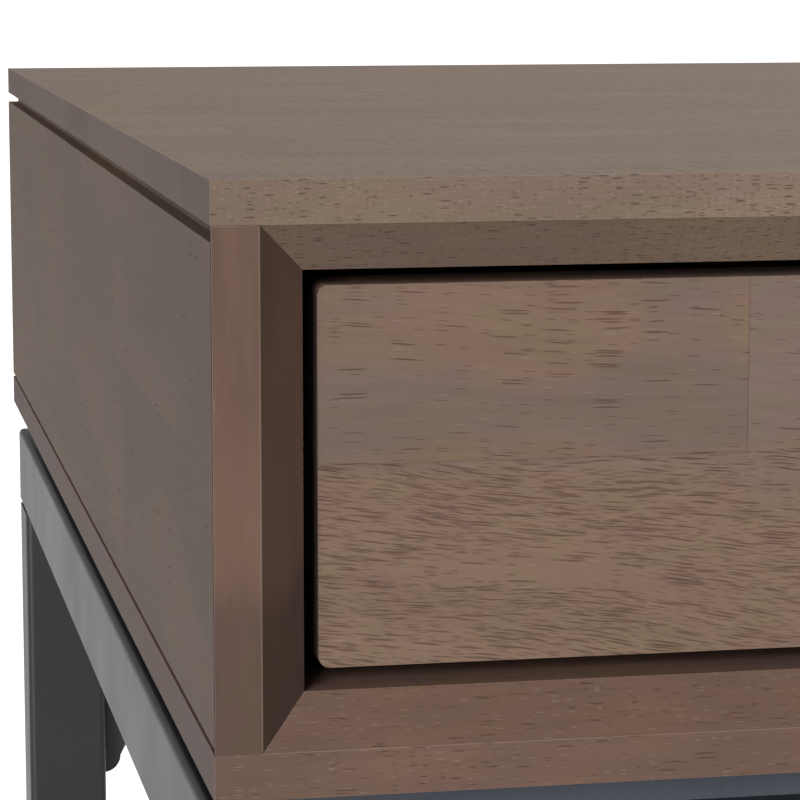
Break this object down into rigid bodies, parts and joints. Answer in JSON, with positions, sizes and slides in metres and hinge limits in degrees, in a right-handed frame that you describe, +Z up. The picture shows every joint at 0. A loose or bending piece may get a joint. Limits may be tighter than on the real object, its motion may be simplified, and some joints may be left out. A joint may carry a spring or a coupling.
{
  "type": "side table with drawer",
  "caption": "Square side table: grey-brown wooden case with a chamfered picture-frame front and a handleless drawer, floating on a dark steel tube base.",
  "frame": {"origin": "centre of the footprint at floor level", "axes": "+Z up, -Y out of the drawer front, +X to the right of someone facing the drawer"},
  "size_m": [0.508, 0.508, 0.56],
  "materials": {
    "case_wood": "grey-brown stain under a satin lacquer",
    "stile_wood": "grey-brown stain under a satin lacquer, a little redder",
    "drawer_front_wood": "edge-glued staves, grey-brown stain, satin lacquer",
    "beech": "clear lacquer",
    "plywood": "clear lacquer",
    "powder_coated_steel": "dark charcoal powder coat, satin",
    "zinc_steel": "bright zinc plate",
    "black_plastic": "moulded, matte",
    "rubber_tip": "matte",
    "brass": "plain turned"
  },
  "bodies": {
    "case_and_base": {"top_board": "case_wood", "bottom_board": "case_wood", "stile_left": "stile_wood", "stile_right": "stile_wood", "side_panel_left": "case_wood", "side_panel_right": "case_wood", "back_panel": "case_wood", "case_dowels": "beech", "slide_packer_left": "beech", "slide_packer_right": "beech", "slide_outer_left": "zinc_steel", "slide_outer_right": "zinc_steel", "slide_case_screws": "zinc_steel", "latch_body": "black_plastic", "latch_spring": "zinc_steel", "latch_screws": "zinc_steel", "spacer_front": "powder_coated_steel", "spacer_back": "powder_coated_steel", "spacer_left": "powder_coated_steel", "spacer_right": "powder_coated_steel", "rail_front": "powder_coated_steel", "rail_back": "powder_coated_steel", "rail_left": "powder_coated_steel", "rail_right": "powder_coated_steel", "leg_front_left": "powder_coated_steel", "leg_front_right": "powder_coated_steel", "leg_back_left": "powder_coated_steel", "leg_back_right": "powder_coated_steel", "gusset_front_left": "powder_coated_steel", "gusset_front_right": "powder_coated_steel", "gusset_back_left": "powder_coated_steel", "gusset_back_right": "powder_coated_steel", "foot_front_left": "black_plastic", "foot_front_right": "black_plastic", "foot_back_left": "black_plastic", "foot_back_right": "black_plastic", "case_inserts": "brass", "base_bolts": "zinc_steel", "base_washers": "zinc_steel"},
    "drawer": {"drawer_front": "drawer_front_wood", "drawer_inner_front": "beech", "drawer_side_left": "beech", "drawer_side_right": "beech", "drawer_box_back": "beech", "drawer_bottom": "plywood", "drawer_dowels": "beech", "drawer_front_screws": "zinc_steel", "slide_inner_left": "zinc_steel", "slide_inner_right": "zinc_steel", "slide_drawer_screws": "zinc_steel"},
    "slide_middle_left": {"slide_middle_left": "zinc_steel"},
    "slide_middle_right": {"slide_middle_right": "zinc_steel"},
    "outer_balls_left": {"outer_ball_cage_left": "zinc_steel"},
    "outer_balls_right": {"outer_ball_cage_right": "zinc_steel"},
    "inner_balls_left": {"inner_ball_cage_left": "zinc_steel"},
    "inner_balls_right": {"inner_ball_cage_right": "zinc_steel"},
    "latch_plunger": {"latch_plunger": "zinc_steel", "latch_tip": "rubber_tip"}
  },
  "joints": [
    {"name": "drawer_slide", "type": "slide", "parent": "case_and_base", "child": "drawer", "axis": [0, -1, 0], "range_m": [0, 0.38]},
    {"name": "slide_middle_left_slide", "type": "slide", "parent": "case_and_base", "child": "slide_middle_left", "axis": [0, -1, 0], "range_m": [0, 0.19]},
    {"name": "outer_balls_left_slide", "type": "slide", "parent": "case_and_base", "child": "outer_balls_left", "axis": [0, -1, 0], "range_m": [0, 0.095]},
    {"name": "inner_balls_left_slide", "type": "slide", "parent": "case_and_base", "child": "inner_balls_left", "axis": [0, -1, 0], "range_m": [0, 0.285]},
    {"name": "slide_middle_right_slide", "type": "slide", "parent": "case_and_base", "child": "slide_middle_right", "axis": [0, -1, 0], "range_m": [0, 0.19]},
    {"name": "outer_balls_right_slide", "type": "slide", "parent": "case_and_base", "child": "outer_balls_right", "axis": [0, -1, 0], "range_m": [0, 0.095]},
    {"name": "inner_balls_right_slide", "type": "slide", "parent": "case_and_base", "child": "inner_balls_right", "axis": [0, -1, 0], "range_m": [0, 0.285]},
    {"name": "latch_plunger_slide", "type": "slide", "parent": "case_and_base", "child": "latch_plunger", "axis": [0, 1, 0], "range_m": [0, 0.003], "stiffness_N_per_m": 200, "springref_m": -0.01, "deforming": ["latch_spring"]}
  ],
  "couplings": [
    {"joint": "slide_middle_left_slide", "follows": "drawer_slide", "ratio": 0.5},
    {"joint": "outer_balls_left_slide", "follows": "drawer_slide", "ratio": 0.25},
    {"joint": "inner_balls_left_slide", "follows": "drawer_slide", "ratio": 0.75},
    {"joint": "slide_middle_right_slide", "follows": "drawer_slide", "ratio": 0.5},
    {"joint": "outer_balls_right_slide", "follows": "drawer_slide", "ratio": 0.25},
    {"joint": "inner_balls_right_slide", "follows": "drawer_slide", "ratio": 0.75}
  ]
}
